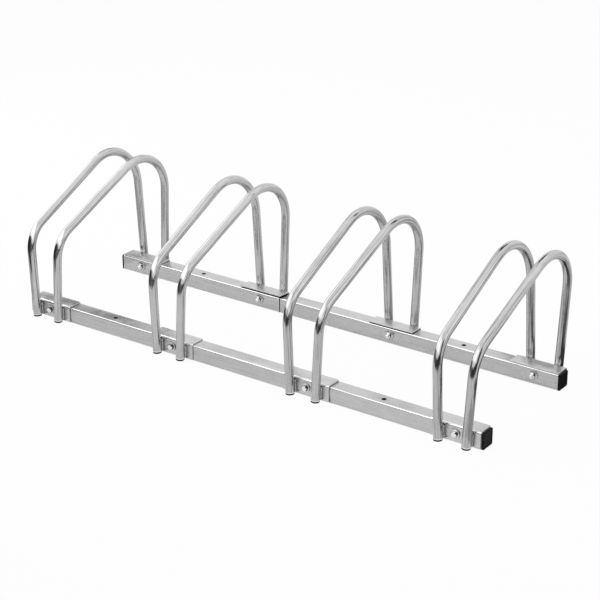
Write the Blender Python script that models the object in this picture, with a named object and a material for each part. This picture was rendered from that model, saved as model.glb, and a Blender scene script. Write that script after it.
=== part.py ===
"""Floor stand that parks four bicycles by their front wheels.

Two parallel square-tube rails carry four pairs of bent tube hoops. A wheel stands
between the two hoops of a pair and dips between the rails. X runs along the rails,
Y from the front rail to the rear rail, Z up, and the stand rests on Z = 0.
All sizes are in metres and all angles in degrees.
"""

import math

import bmesh
import bpy
from mathutils import Vector

# Clearance between pieces that touch
FIT = 0.0003

# Wheel places along the rails
PLACE_COUNT = 4
PLACE_PITCH = 0.295
SHORT_PLACES = 2

# Rails
RAIL_SIZE = 0.030
RAIL_WALL = 0.0012
RAIL_CORNER = 0.0025
RAIL_SPACING = 0.262
RAIL_JOINT_GAP = 0.0006
FIXING_HOLE = 0.007
CORNER_STEPS = 3

# Splice tube inside each rail joint
SPLICE_WALL = 0.0015
SPLICE_CORNER = 0.0015
SPLICE_GRIP = 0.018

# Angle brackets
BRACKET_LENGTH = 0.095
BRACKET_SHEET = 0.0025
BRACKET_BEND = 0.0015
BRACKET_BEND_STEPS = 4
FLANGE_SETBACK = 0.001
WEB_SETBACK = 0.002

# Hoops
TUBE_DIAMETER = 0.016
TUBE_WALL = 0.001
TUBE_SIDES = 12
HOOP_GAP = 0.0525
HOOP_FLARE = 2.75
FOOT_HEIGHT = 0.0015
KNEE_HEIGHT = 0.163
CROWN_HEIGHT = 0.305
KNEE_RADIUS = 0.058
CROWN_RADIUS = 0.083
FRONT_LEAN = 1.0
REAR_LEAN = 0.5
KNEE_STEPS = 4
CROWN_UP_STEPS = 2
CROWN_DOWN_STEPS = 6

# Leg caps
LEG_CAP_FLANGE = 0.002
LEG_CAP_TAPER = 0.0005
LEG_CAP_PLUG = 0.012

# Rail end caps
END_CAP_FLANGE = 0.004
END_CAP_ROUND = 0.001
END_CAP_PLUG = 0.016
END_CAP_WALL = 0.0018
END_CAP_STEM_INSET = 0.0025
END_CAP_LIPS = 2
END_CAP_LIP_PITCH = 0.005
END_CAP_LIP = 0.0012
END_CAP_CORNER_STEPS = 2

# Bolts, nuts and their washers
BOLT_DIAMETER = 0.006
BOLT_HEIGHT = 0.0175
BOLT_TIP = 0.003
HEX_ACROSS_FLATS = 0.010
HEX_CHAMFER = 0.0004
HEAD_HEIGHT = 0.004
NUT_HEIGHT = 0.005
WASHER_DIAMETER = 0.018
WASHER_THICKNESS = 0.0016
ROUND_STEPS = 12

# Places that follow from the sizes
RAIL_HALF = RAIL_SIZE / 2
RAIL_END = (PLACE_COUNT - 1) * PLACE_PITCH / 2 + BRACKET_LENGTH / 2
WEB_FACE = RAIL_HALF + FIT + BRACKET_SHEET
BRACKET_TOP = RAIL_SIZE + FIT + BRACKET_SHEET
TUBE_RADIUS = TUBE_DIAMETER / 2
BORE = BOLT_DIAMETER / 2 + FIT
HEX_CORNER = HEX_ACROSS_FLATS / 2 / math.cos(math.radians(30))


def clear_scene():
    """Remove every object of the start-up scene."""
    for item in list(bpy.data.objects):
        bpy.data.objects.remove(item, do_unlink=True)


def make_material(name, color, roughness, metallic):
    """Principled material with one colour."""
    material = bpy.data.materials.new(name)
    material.use_nodes = True
    shader = material.node_tree.nodes["Principled BSDF"]
    shader.inputs["Base Color"].default_value = (*color, 1.0)
    shader.inputs["Roughness"].default_value = roughness
    shader.inputs["Metallic"].default_value = metallic
    return material


def place_x(index):
    """Middle of a wheel place along the rails."""
    return (index - (PLACE_COUNT - 1) / 2) * PLACE_PITCH


def spread(start, end, steps):
    """Evenly spaced values from start to end, both included."""
    return [start + (end - start) * step / steps for step in range(steps + 1)]


def add_object(name, data, material, parent=None, location=(0, 0, 0), rotation=(0, 0, 0)):
    """Object in the scene that carries the given mesh or curve."""
    item = bpy.data.objects.new(name, data)
    bpy.context.scene.collection.objects.link(item)
    if material is not None and not data.materials:
        data.materials.append(material)
    item.parent = parent
    item.location = location
    item.rotation_euler = rotation
    return item


def add_frame(name, location, turn=0.0):
    """Empty that carries a group of pieces, turned about Z."""
    frame = bpy.data.objects.new(name, None)
    bpy.context.scene.collection.objects.link(frame)
    frame.location = location
    frame.rotation_euler = (0, 0, turn)
    return frame


def finish_mesh(work, name, sharp_angle=35):
    """Mesh from a bmesh, with its faces pointing out and round sides shaded smooth."""
    bmesh.ops.remove_doubles(work, verts=work.verts, dist=1e-6)
    bmesh.ops.recalc_face_normals(work, faces=work.faces)
    mesh = bpy.data.meshes.new(name)
    work.to_mesh(mesh)
    work.free()
    mesh.shade_smooth()
    mesh.set_sharp_from_angle(angle=math.radians(sharp_angle))
    return mesh


def bake(item, name, sharp_angle=35):
    """Mesh of an object with its modifiers applied; the object and its cutters go."""
    cutters = [modifier.object for modifier in item.modifiers if modifier.type == "BOOLEAN"]
    bpy.context.view_layer.update()
    graph = bpy.context.evaluated_depsgraph_get()
    mesh = bpy.data.meshes.new_from_object(item.evaluated_get(graph))
    mesh.name = name
    mesh.shade_smooth()
    mesh.set_sharp_from_angle(angle=math.radians(sharp_angle))
    for spare in [item, *cutters]:
        bpy.data.objects.remove(spare, do_unlink=True)
    return mesh


def add_solidify(item, thickness):
    """Wall of even thickness laid inside the surface."""
    wall = item.modifiers.new("wall", "SOLIDIFY")
    wall.thickness = thickness
    wall.offset = -1
    wall.use_even_offset = True


def drill(item, center, radius, length, axis):
    """Round hole through a piece, along Y or Z."""
    work = bmesh.new()
    bmesh.ops.create_cone(work, cap_ends=True, segments=ROUND_STEPS, radius1=radius, radius2=radius, depth=length)
    mesh = bpy.data.meshes.new("drill")
    work.to_mesh(mesh)
    work.free()
    turn = (math.radians(90), 0, 0) if axis == "Y" else (0, 0, 0)
    cutter = add_object("drill", mesh, None, location=center, rotation=turn)
    cutter.hide_render = True
    cutter.display_type = "WIRE"
    cut = item.modifiers.new("hole", "BOOLEAN")
    cut.operation = "DIFFERENCE"
    cut.solver = "EXACT"
    cut.object = cutter


def rounded_square(size, corner, steps):
    """Outline of a square with rounded corners in Y and Z, about the origin."""
    inset = size / 2 - corner
    points = []
    for quarter, (side_y, side_z) in enumerate(((1, 1), (-1, 1), (-1, -1), (1, -1))):
        for angle in spread(90 * quarter, 90 * (quarter + 1), steps):
            reach = Vector((0, math.cos(math.radians(angle)), math.sin(math.radians(angle))))
            points.append(Vector((0, side_y * inset, side_z * inset)) + corner * reach)
    return points


def bridge_rings(work, rings, closed):
    """Faces between rings of equally many points; ends are capped unless closed."""
    loops = [[work.verts.new(point) for point in ring] for ring in rings]
    count = len(loops[0])
    pairs = list(zip(loops, loops[1:]))
    if closed:
        pairs.append((loops[-1], loops[0]))
    else:
        work.faces.new(loops[0])
        work.faces.new(loops[-1])
    for first, second in pairs:
        for index in range(count):
            after = (index + 1) % count
            work.faces.new((first[index], first[after], second[after], second[index]))


def square_tube_surface(name, start, end, size, corner, wall):
    """Open square tube along X, about the X axis, with its wall."""
    work = bmesh.new()
    outline = [work.verts.new(point + Vector((start, 0, 0))) for point in rounded_square(size, corner, CORNER_STEPS)]
    edges = [work.edges.new((outline[index - 1], outline[index])) for index in range(len(outline))]
    swept = bmesh.ops.extrude_edge_only(work, edges=edges)
    moved = [item for item in swept["geom"] if isinstance(item, bmesh.types.BMVert)]
    bmesh.ops.translate(work, verts=moved, vec=(end - start, 0, 0))
    tube = add_object(name, finish_mesh(work, name), None)
    add_solidify(tube, wall)
    return tube


def rail_mesh(name, start, end, places):
    """One length of rail with its bolt holes and its fixing holes midway between places."""
    rail = square_tube_surface(name, start, end, RAIL_SIZE, RAIL_CORNER, RAIL_WALL)
    reach = 2 * RAIL_SIZE
    for index in places:
        drill(rail, (place_x(index), 0, BOLT_HEIGHT - RAIL_HALF), BORE, reach, "Y")
    for index in places[:-1]:
        middle = (place_x(index) + place_x(index + 1)) / 2
        drill(rail, (middle, 0, 0), FIXING_HOLE / 2, reach, "Z")
    return bake(rail, name)


def splice_mesh(joint):
    """Square tube inside a rail joint; the next bracket's bolt passes through it."""
    half = BRACKET_LENGTH / 2 + SPLICE_GRIP
    size = RAIL_SIZE - 2 * (RAIL_WALL + FIT)
    splice = square_tube_surface("splice", joint - half, joint + half, size, SPLICE_CORNER, SPLICE_WALL)
    bolt_x = joint + BRACKET_LENGTH / 2
    drill(splice, (bolt_x, 0, BOLT_HEIGHT - RAIL_HALF), BORE, 2 * RAIL_SIZE, "Y")
    return bake(splice, "splice")


def bracket_mesh():
    """Bent sheet angle: a web on the rail's outer face at -Y and a flange over its top."""
    bend = BRACKET_BEND + BRACKET_SHEET
    flange_end = RAIL_HALF - FLANGE_SETBACK
    web_bottom = WEB_SETBACK - RAIL_HALF
    top = BRACKET_TOP - RAIL_HALF
    section = [Vector((0, -WEB_FACE, web_bottom))]
    for angle in spread(180, 90, BRACKET_BEND_STEPS):
        reach = Vector((0, math.cos(math.radians(angle)), math.sin(math.radians(angle))))
        section.append(Vector((0, bend - WEB_FACE, top - bend)) + bend * reach)
    section.append(Vector((0, flange_end, top)))
    work = bmesh.new()
    row = [work.verts.new(point - Vector((BRACKET_LENGTH / 2, 0, 0))) for point in section]
    edges = [work.edges.new(pair) for pair in zip(row, row[1:])]
    swept = bmesh.ops.extrude_edge_only(work, edges=edges)
    moved = [item for item in swept["geom"] if isinstance(item, bmesh.types.BMVert)]
    bmesh.ops.translate(work, verts=moved, vec=(BRACKET_LENGTH, 0, 0))
    bracket = add_object("bracket", finish_mesh(work, "bracket"), None)
    add_solidify(bracket, BRACKET_SHEET)
    drill(bracket, (0, -WEB_FACE, BOLT_HEIGHT - RAIL_HALF), BORE, 4 * BRACKET_SHEET, "Y")
    return bake(bracket, "bracket")


def heading(angle):
    """Unit vector in the hoop's plane, from 0 towards the rear to 90 upwards."""
    return Vector((0, math.cos(math.radians(angle)), math.sin(math.radians(angle))))


def bend_points(corner, radius, headings):
    """Arc that rounds a corner of the centre line, one point for each heading."""
    turn = math.radians(headings[0] - headings[-1])
    start = corner - radius * math.tan(turn / 2) * heading(headings[0])
    center = start + radius * heading(headings[0] - 90)
    return [center + radius * heading(angle + 90) for angle in headings]


def foot_offset(lean):
    """Distance from the rail's centre line to the foot of a leg that leans on the web."""
    return WEB_FACE + FIT + TUBE_RADIUS + BRACKET_TOP * math.tan(math.radians(lean))


def front_foot():
    """Underside of the front leg's cap, in the hoop's plane."""
    return Vector((0, -RAIL_SPACING / 2 - foot_offset(FRONT_LEAN), 0))


def rear_foot():
    """Underside of the rear leg's cap, in the hoop's plane."""
    return Vector((0, RAIL_SPACING / 2 + foot_offset(REAR_LEAN), 0))


def hoop_points():
    """Centre line of a hoop: front leg, knee, rising run, crown and rear leg."""
    up_front = heading(90 - FRONT_LEAN)
    up_rear = heading(90 + REAR_LEAN)
    knee = front_foot() + up_front * (KNEE_HEIGHT / up_front.z)
    crown = rear_foot() + up_rear * (CROWN_HEIGHT / up_rear.z)
    rise = math.degrees(math.atan2(crown.z - knee.z, crown.y - knee.y))
    climb = spread(rise, 0, CROWN_UP_STEPS)
    descent = spread(0, REAR_LEAN - 90, CROWN_DOWN_STEPS)
    leg_start = LEG_CAP_FLANGE + FIT
    points = [front_foot() + leg_start * up_front]
    points += bend_points(knee, KNEE_RADIUS, spread(90 - FRONT_LEAN, rise, KNEE_STEPS))
    points += bend_points(crown, CROWN_RADIUS, climb + descent[1:])
    points.append(rear_foot() + leg_start * up_rear)
    return points


def hoop_mesh():
    """Bent round tube, open at both ends."""
    curve = bpy.data.curves.new("hoop", "CURVE")
    curve.dimensions = "3D"
    curve.bevel_depth = TUBE_RADIUS
    curve.bevel_resolution = (TUBE_SIDES - 4) // 2
    points = hoop_points()
    spline = curve.splines.new("POLY")
    spline.points.add(len(points) - 1)
    for target, point in zip(spline.points, points):
        target.co = (*point, 1)
    tube = add_object("hoop", curve, None)
    add_solidify(tube, TUBE_WALL)
    return bake(tube, "hoop")


def leg_cap_mesh():
    """Round plastic cap with a plug, standing on its flange about the Z axis."""
    plug = TUBE_RADIUS - TUBE_WALL - FIT
    profile = [
        (0, 0),
        (TUBE_RADIUS - LEG_CAP_TAPER, 0),
        (TUBE_RADIUS, LEG_CAP_FLANGE),
        (plug, LEG_CAP_FLANGE),
        (plug, LEG_CAP_FLANGE + LEG_CAP_PLUG),
        (0, LEG_CAP_FLANGE + LEG_CAP_PLUG),
    ]
    work = bmesh.new()
    outline = [work.verts.new((radius, 0, height)) for radius, height in profile]
    edges = [work.edges.new(pair) for pair in zip(outline, outline[1:])]
    bmesh.ops.spin(
        work, geom=outline + edges, axis=(0, 0, 1), cent=(0, 0, 0), steps=TUBE_SIDES, angle=math.radians(360)
    )
    return finish_mesh(work, "leg_cap")


def end_cap_mesh():
    """Square plastic cap for a rail's right end: a flange, a hollow stem and gripping lips."""
    stem = RAIL_SIZE - 2 * (RAIL_WALL + END_CAP_STEM_INSET)
    lip = RAIL_SIZE - 2 * (RAIL_WALL + FIT)
    hollow = stem - 2 * END_CAP_WALL
    rings = [
        (RAIL_SIZE - 2 * END_CAP_ROUND, END_CAP_FLANGE),
        (RAIL_SIZE, END_CAP_FLANGE - END_CAP_ROUND),
        (RAIL_SIZE, FIT),
        (stem, FIT),
    ]
    for index in range(END_CAP_LIPS):
        root = -END_CAP_LIP_PITCH * (index + 1) + END_CAP_LIP
        rings += [(stem, root), (lip, root), (lip, root - END_CAP_LIP), (stem, root - END_CAP_LIP)]
    rings += [(stem, -END_CAP_PLUG), (hollow, -END_CAP_PLUG), (hollow, 0)]
    outlines = []
    for size, reach in rings:
        corner = RAIL_CORNER * size / RAIL_SIZE
        outline = rounded_square(size, corner, END_CAP_CORNER_STEPS)
        outlines.append([point + Vector((reach, 0, 0)) for point in outline])
    work = bmesh.new()
    bridge_rings(work, outlines, closed=False)
    return finish_mesh(work, "end_cap")


def round_ring(radius, reach):
    """Ring of points about the Y axis."""
    points = []
    for index in range(ROUND_STEPS):
        angle = math.radians(360 * index / ROUND_STEPS)
        points.append(Vector((radius * math.sin(angle), reach, radius * math.cos(angle))))
    return points


def hex_ring(reach):
    """Hexagon about the Y axis with a point at each corner and halfway along each side."""
    points = round_ring(HEX_CORNER, reach)
    for index in range(1, ROUND_STEPS, 2):
        points[index] = (points[index - 1] + points[(index + 1) % ROUND_STEPS]) / 2
    return points


def bolt_mesh():
    """Hex bolt with its washer, along Y about the origin at the rail's centre line."""
    washer_back = -WEB_FACE - FIT
    washer_front = washer_back - WASHER_THICKNESS
    head_front = washer_front - HEAD_HEIGHT
    tip = RAIL_HALF + FIT + WASHER_THICKNESS + NUT_HEIGHT + BOLT_TIP
    work = bmesh.new()
    rings = [
        round_ring(HEX_ACROSS_FLATS / 2, head_front),
        hex_ring(head_front + HEX_CHAMFER),
        hex_ring(washer_front),
        round_ring(WASHER_DIAMETER / 2, washer_front),
        round_ring(WASHER_DIAMETER / 2, washer_back),
        round_ring(BOLT_DIAMETER / 2, washer_back),
        round_ring(BOLT_DIAMETER / 2, tip),
    ]
    bridge_rings(work, rings, closed=False)
    return finish_mesh(work, "bolt")


def nut_mesh():
    """Hex nut with its washer on the rail's inner face, along Y."""
    washer_back = RAIL_HALF + FIT
    washer_front = washer_back + WASHER_THICKNESS
    nut_front = washer_front + NUT_HEIGHT
    work = bmesh.new()
    rings = [
        round_ring(BORE, washer_back),
        round_ring(WASHER_DIAMETER / 2, washer_back),
        round_ring(WASHER_DIAMETER / 2, washer_front),
        hex_ring(washer_front),
        hex_ring(nut_front - HEX_CHAMFER),
        round_ring(HEX_ACROSS_FLATS / 2, nut_front),
        round_ring(BORE, nut_front),
    ]
    bridge_rings(work, rings, closed=True)
    return finish_mesh(work, "nut")


def build_side(side, frame, meshes, materials, first_is_left):
    """Rail, splice, brackets, bolts, nuts and end caps of one side, in the side's frame."""
    zinc = materials["zinc"]
    add_object(f"{side}_rail_long", meshes["rail_long"], zinc, frame)
    add_object(f"{side}_rail_short", meshes["rail_short"], zinc, frame)
    add_object(f"{side}_rail_splice", meshes["splice"], zinc, frame)
    for index in range(PLACE_COUNT):
        number = index + 1 if first_is_left else PLACE_COUNT - index
        spot = (place_x(index), 0, 0)
        bolt_spot = (place_x(index), 0, BOLT_HEIGHT - RAIL_HALF)
        add_object(f"{side}_bracket_{number}", meshes["bracket"], materials["plate"], frame, spot)
        add_object(f"{side}_bolt_{number}", meshes["bolt"], materials["fastener"], frame, bolt_spot)
        add_object(f"{side}_nut_{number}", meshes["nut"], materials["fastener"], frame, bolt_spot)
    ends = ("right", "left") if first_is_left else ("left", "right")
    for end, reach, turn in zip(ends, (RAIL_END, -RAIL_END), (0, math.pi)):
        spot = (reach, 0, 0)
        add_object(f"{side}_end_cap_{end}", meshes["end_cap"], materials["plastic"], frame, spot, (0, 0, turn))


def build_hoops(meshes, materials):
    """Two flared hoops at each wheel place, each with a cap in both legs."""
    for index in range(PLACE_COUNT):
        frame = add_frame(f"place_{index + 1}", (place_x(index), 0, FOOT_HEIGHT))
        for hand, sign in (("left", -1), ("right", 1)):
            name = f"hoop_{index + 1}_{hand}"
            spot = (sign * HOOP_GAP / 2, 0, 0)
            tilt = (0, sign * math.radians(HOOP_FLARE), 0)
            hoop = add_object(name, meshes["hoop"], materials["tube"], frame, spot, tilt)
            for end, foot, lean in (("front", front_foot(), -FRONT_LEAN), ("rear", rear_foot(), REAR_LEAN)):
                cap_tilt = (math.radians(lean), 0, 0)
                cap_name = f"leg_cap_{index + 1}_{hand}_{end}"
                add_object(cap_name, meshes["leg_cap"], materials["plastic"], hoop, foot, cap_tilt)


def main():
    """Build the stand."""
    clear_scene()
    materials = {
        "zinc": make_material("zinc_rail", (0.62, 0.63, 0.63), 0.38, 1.0),
        "plate": make_material("zinc_plate", (0.66, 0.67, 0.66), 0.34, 1.0),
        "tube": make_material("zinc_tube", (0.66, 0.67, 0.67), 0.26, 1.0),
        "fastener": make_material("zinc_fastener", (0.72, 0.72, 0.71), 0.25, 1.0),
        "plastic": make_material("black_plastic", (0.02, 0.02, 0.021), 0.5, 0.0),
    }
    joint = place_x(PLACE_COUNT - SHORT_PLACES) - BRACKET_LENGTH / 2
    long_places = range(PLACE_COUNT - SHORT_PLACES)
    short_places = range(PLACE_COUNT - SHORT_PLACES, PLACE_COUNT)
    meshes = {
        "rail_long": rail_mesh("rail_long", -RAIL_END, joint - RAIL_JOINT_GAP / 2, long_places),
        "rail_short": rail_mesh("rail_short", joint + RAIL_JOINT_GAP / 2, RAIL_END, short_places),
        "splice": splice_mesh(joint),
        "bracket": bracket_mesh(),
        "bolt": bolt_mesh(),
        "nut": nut_mesh(),
        "end_cap": end_cap_mesh(),
        "hoop": hoop_mesh(),
        "leg_cap": leg_cap_mesh(),
    }
    front = add_frame("front_side", (0, -RAIL_SPACING / 2, RAIL_HALF))
    rear = add_frame("rear_side", (0, RAIL_SPACING / 2, RAIL_HALF), math.pi)
    build_side("front", front, meshes, materials, True)
    build_side("rear", rear, meshes, materials, False)
    build_hoops(meshes, materials)


main()
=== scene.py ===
"""Looks of the bike parking stand: finer meshes, metal and plastic finishes, a pale studio.

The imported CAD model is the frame. X runs along the rails, Y from the front rail to the rear
rail, Z up, and the stand rests on Z = 0. Sizes are in metres and angles in degrees.
"""

import math
import random

import bmesh
import bpy
from mathutils import Matrix, Vector


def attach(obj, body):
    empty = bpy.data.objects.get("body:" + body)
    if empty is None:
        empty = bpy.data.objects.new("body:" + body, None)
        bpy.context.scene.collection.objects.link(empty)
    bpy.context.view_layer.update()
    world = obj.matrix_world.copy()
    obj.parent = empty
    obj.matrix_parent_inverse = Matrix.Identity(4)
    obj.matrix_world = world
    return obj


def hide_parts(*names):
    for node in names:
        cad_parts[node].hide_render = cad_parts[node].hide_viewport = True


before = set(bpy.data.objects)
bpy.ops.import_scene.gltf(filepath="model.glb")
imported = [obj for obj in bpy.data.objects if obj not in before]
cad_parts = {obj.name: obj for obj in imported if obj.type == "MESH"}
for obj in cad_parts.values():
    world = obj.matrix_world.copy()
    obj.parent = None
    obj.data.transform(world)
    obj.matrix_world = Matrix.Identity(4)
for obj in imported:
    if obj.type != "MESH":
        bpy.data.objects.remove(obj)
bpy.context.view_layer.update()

# Sizes that the CAD model has too
FIT = 0.0003
PLACE_COUNT = 4
SHORT_PLACES = 2
PLACE_PITCH = 0.295
RAIL_SIZE = 0.030
RAIL_WALL = 0.0012
RAIL_CORNER = 0.0025
RAIL_SPACING = 0.262
BRACKET_LENGTH = 0.095
BRACKET_SHEET = 0.0025
BRACKET_BEND = 0.0015
FLANGE_SETBACK = 0.001
WEB_SETBACK = 0.002
TUBE_DIAMETER = 0.016
TUBE_WALL = 0.001
HOOP_GAP = 0.0525
HOOP_FLARE = 2.75
FOOT_HEIGHT = 0.0015
KNEE_HEIGHT = 0.163
CROWN_HEIGHT = 0.305
KNEE_RADIUS = 0.058
CROWN_RADIUS = 0.083
FRONT_LEAN = 1.0
REAR_LEAN = 0.5
LEG_CAP_TAPER = 0.0005
LEG_CAP_PLUG = 0.012
END_CAP_FLANGE = 0.004
END_CAP_PLUG = 0.016
BOLT_DIAMETER = 0.006
BOLT_HEIGHT = 0.0175
BOLT_TIP = 0.003
HEX_ACROSS_FLATS = 0.010
HEAD_HEIGHT = 0.004
NUT_HEIGHT = 0.005
WASHER_DIAMETER = 0.018
WASHER_THICKNESS = 0.0016

# Sizes that are larger than in the CAD model, as the photograph shows them
RAIL_JOINT_GAP = 0.0022
FIXING_HOLE = 0.0085
LEG_CAP_FLANGE = 0.0027

# How far the round tubes' crowns are lowered to stay inside the CAD model's box
CROWN_DROP = 0.00065

# Small edges and details
RAIL_BURR = 0.0003
BRACKET_EDGE = 0.0007
TUBE_EDGE = 0.00025
LEG_CAP_EDGE = 0.0006
LEG_CAP_RIM = 0.0002
END_CAP_EDGE = 0.0012
WASHER_EDGE = 0.0003
HEX_FLAT_SHARE = 0.84
HEAD_DISH_SHARE = 0.66
HEAD_DISH = 0.0001
NUT_SINK = 0.0004
NUT_SEAT_SINK = 0.0003
THREAD_PITCH = 0.001
THREAD_DEPTH = 0.00054
THREAD_POINT = 0.0005
REAR_FLANGE_LIFTS = {1: 0.0022, 2: 0.0014}
FLANGE_LIFT = -0.0002
WELD_RADIUS = 0.0024
WELD_PITCH = 0.0023
WELD_SAG = 0.0007
WELD_DRIFT = 0.0002
WELD_DEPTH = 0.0016
WELD_BOTTOM = 0.0045

# A weld's shape as shares of its radius or its length
WELD_WIDTH = 1.05
WELD_BULGE = 0.9
WELD_RIPPLE = 0.22
WELD_JITTER = 0.05
WELD_TAPER = 1 / 6
WELD_BLUNT_END = 0.15

# Insets and depths of the dish in an end cap's face
END_CAP_DISH = ((0.012, 0.0004), (0.0095, 0.0003), (0.0085, 0))

# Largest turn of a bolt or nut about its axis, in radians
BOLT_TWIST = 0.15

# Places that follow from these sizes
RAIL_HALF = RAIL_SIZE / 2
RAIL_END = (PLACE_COUNT - 1) * PLACE_PITCH / 2 + BRACKET_LENGTH / 2
WEB_FACE = RAIL_HALF + FIT + BRACKET_SHEET
BRACKET_TOP = RAIL_SIZE + FIT + BRACKET_SHEET
BEND_OUTSIDE = BRACKET_BEND + BRACKET_SHEET
TUBE_RADIUS = TUBE_DIAMETER / 2
TUBE_BORE = TUBE_RADIUS - TUBE_WALL
BOLT_RADIUS = BOLT_DIAMETER / 2
BORE = BOLT_RADIUS + FIT
HEX_FLAT = HEX_ACROSS_FLATS / 2 * HEX_FLAT_SHARE

# Fineness of the meshes
TUBE_SIDES = 40
ROUND_SIDES = 48
WELD_SIDES = 14
WELD_STEPS = 5
THREAD_STEPS = 8
CORNER_STEPS = 8
EDGE_STEPS = 5
BEND_STEP = 3
KNEE_EASE = 0.15
CROWN_EASE = 0.12
LONGEST_STRETCH = 0.02
SHARP_ANGLE = 35

# Tones and patterns of the materials
PIECE_SHIFT = (3.1, 5.3, 7.7)
CLOUD_SCALE = 55
ALONG_X = 0
ALONG_Z = 2
LINE_STRETCH = 0.012
BAND_STRETCH = 0.05
LINE_FADE = 0.16
LINE_DEPTH = 0.00002
TUBE_TONE = (0.55, 0.553, 0.551)
TUBE_LINES = 420

# Camera, fitted to the photograph
CAMERA_PLACE = (1.6483, -2.26565, 1.28646)
CAMERA_TURN = 35.526
CAMERA_RISE = 23.101
CAMERA_ROLL = -0.304
CAMERA_LENS = 101.479
CAMERA_SENSOR = 36

# Studio
FLOOR_HALF = 9
FLOOR_CARD_HEIGHT = 0.0004
CARD_FOOT = 0.001


def place_x(index):
    """Middle of a wheel place along the rails."""
    return (index - (PLACE_COUNT - 1) / 2) * PLACE_PITCH


def spread(start, end, steps):
    """Evenly spaced values from start to end, both included."""
    return [start + (end - start) * step / steps for step in range(steps + 1)]


def ring_turns(sides):
    """Angles in radians of the points of a ring."""
    return [2 * math.pi * index / sides for index in range(sides)]


def heading(angle):
    """Unit vector in Y and Z, from 0 towards the rear to 90 upwards."""
    return Vector((0, math.cos(math.radians(angle)), math.sin(math.radians(angle))))


def round_over(radius, steps=EDGE_STEPS):
    """Insets and drops along a rounded edge, from its end face to its side."""
    leans = [math.radians(angle) for angle in spread(90, 0, steps)]
    return [(radius * (1 - math.cos(lean)), radius * (1 - math.sin(lean))) for lean in leans]


def new_object(name, data):
    """Object in the scene."""
    item = bpy.data.objects.new(name, data)
    bpy.context.scene.collection.objects.link(item)
    return item


# Shader helpers


def add_node(tree, kind, **values):
    """Shader node with its properties and inputs set."""
    node = tree.nodes.new(kind)
    for key, value in values.items():
        if hasattr(node, key):
            setattr(node, key, value)
        else:
            node.inputs[key.replace("_", " ").title()].default_value = value
    return node


def calculate(tree, operation, first, second=0.0, third=0.0):
    """Math node on sockets or numbers."""
    node = add_node(tree, "ShaderNodeMath", operation=operation)
    for socket, value in zip(node.inputs, (first, second, third)):
        if isinstance(value, bpy.types.NodeSocket):
            tree.links.new(value, socket)
        else:
            socket.default_value = value
    return node.outputs[0]


def piece_point(tree, attribute=None):
    """Position on the piece, or what an attribute of its points holds."""
    if attribute:
        return add_node(tree, "ShaderNodeAttribute", attribute_name=attribute).outputs["Vector"]
    return tree.nodes.new("ShaderNodeTexCoord").outputs["Object"]


def piece_axes(tree, attribute=None):
    """X, Y and Z of the position on the piece, or of what an attribute holds."""
    parts = tree.nodes.new("ShaderNodeSeparateXYZ")
    tree.links.new(piece_point(tree, attribute), parts.inputs[0])
    return parts.outputs


def surface_point(tree, stretch=(1, 1, 1), attribute=None):
    """Position on the piece, shifted by a random amount for each piece and scaled by stretch."""
    info = tree.nodes.new("ShaderNodeObjectInfo")
    moved = add_node(tree, "ShaderNodeVectorMath", operation="MULTIPLY_ADD")
    tree.links.new(info.outputs["Random"], moved.inputs[0])
    moved.inputs[1].default_value = PIECE_SHIFT
    tree.links.new(piece_point(tree, attribute), moved.inputs[2])
    scaled = add_node(tree, "ShaderNodeVectorMath", operation="MULTIPLY")
    tree.links.new(moved.outputs[0], scaled.inputs[0])
    scaled.inputs[1].default_value = stretch
    return scaled.outputs[0]


def noise(tree, point, scale, detail=3, roughness=0.5):
    """Value of a noise field at a point."""
    node = add_node(tree, "ShaderNodeTexNoise", scale=scale, detail=detail, roughness=roughness)
    tree.links.new(point, node.inputs["Vector"])
    return node.outputs["Fac"]


def drawn_noise(tree, along, stretch, attribute, scale, detail, roughness=0.5):
    """Noise that is drawn out along one axis."""
    factors = [1.0, 1.0, 1.0]
    factors[along] = stretch
    return noise(tree, surface_point(tree, factors, attribute), scale, detail, roughness)


def remap(tree, value, low, high, start=0.3, end=0.7):
    """Value mapped from start..end to low..high, clamped."""
    node = tree.nodes.new("ShaderNodeMapRange")
    tree.links.new(value, node.inputs["Value"])
    for key, number in (("From Min", start), ("From Max", end), ("To Min", low), ("To Max", high)):
        node.inputs[key].default_value = number
    return node.outputs["Result"]


def blend_colors(tree, factor, first, second):
    """Colour between two colours or colour sockets."""
    node = add_node(tree, "ShaderNodeMix", data_type="RGBA")
    tree.links.new(factor, node.inputs["Factor"])
    slots = [item for item in node.inputs if item.type == "RGBA"]
    for socket, value in zip(slots, (first, second)):
        if isinstance(value, bpy.types.NodeSocket):
            tree.links.new(value, socket)
        else:
            socket.default_value = (*value, 1)
    return next(item for item in node.outputs if item.type == "RGBA")


def toned(base, factor):
    """Colour made darker or lighter by a factor."""
    return tuple(channel * factor for channel in base)


def add_bump(tree, shader, height, distance, after=None):
    """Bump on the shader's normal; after is an earlier bump that it adds to."""
    node = add_node(tree, "ShaderNodeBump", distance=distance)
    tree.links.new(height, node.inputs["Height"])
    if after is not None:
        tree.links.new(after.outputs["Normal"], node.inputs["Normal"])
    tree.links.new(node.outputs["Normal"], shader.inputs["Normal"])
    return node


def new_material(name, metallic=0.0):
    """Node material with its tree and its Principled shader."""
    material = bpy.data.materials.new(name)
    material.use_nodes = True
    tree = material.node_tree
    shader = tree.nodes["Principled BSDF"]
    shader.inputs["Metallic"].default_value = metallic
    return material, tree, shader


# Where a surface gets a painted highlight, or heat tint with painted shade


def rail_edges(tree):
    """1 on the rounded corners of a rail, 0 on its flat sides; the corners get a painted highlight."""
    axes = piece_axes(tree)
    total = calculate(tree, "ADD", calculate(tree, "ABSOLUTE", axes[1]), calculate(tree, "ABSOLUTE", axes[2]))
    flat_end = RAIL_SIZE - RAIL_CORNER
    return remap(tree, total, 0, 1, start=flat_end + 0.0002, end=flat_end + 0.0007)


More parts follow.
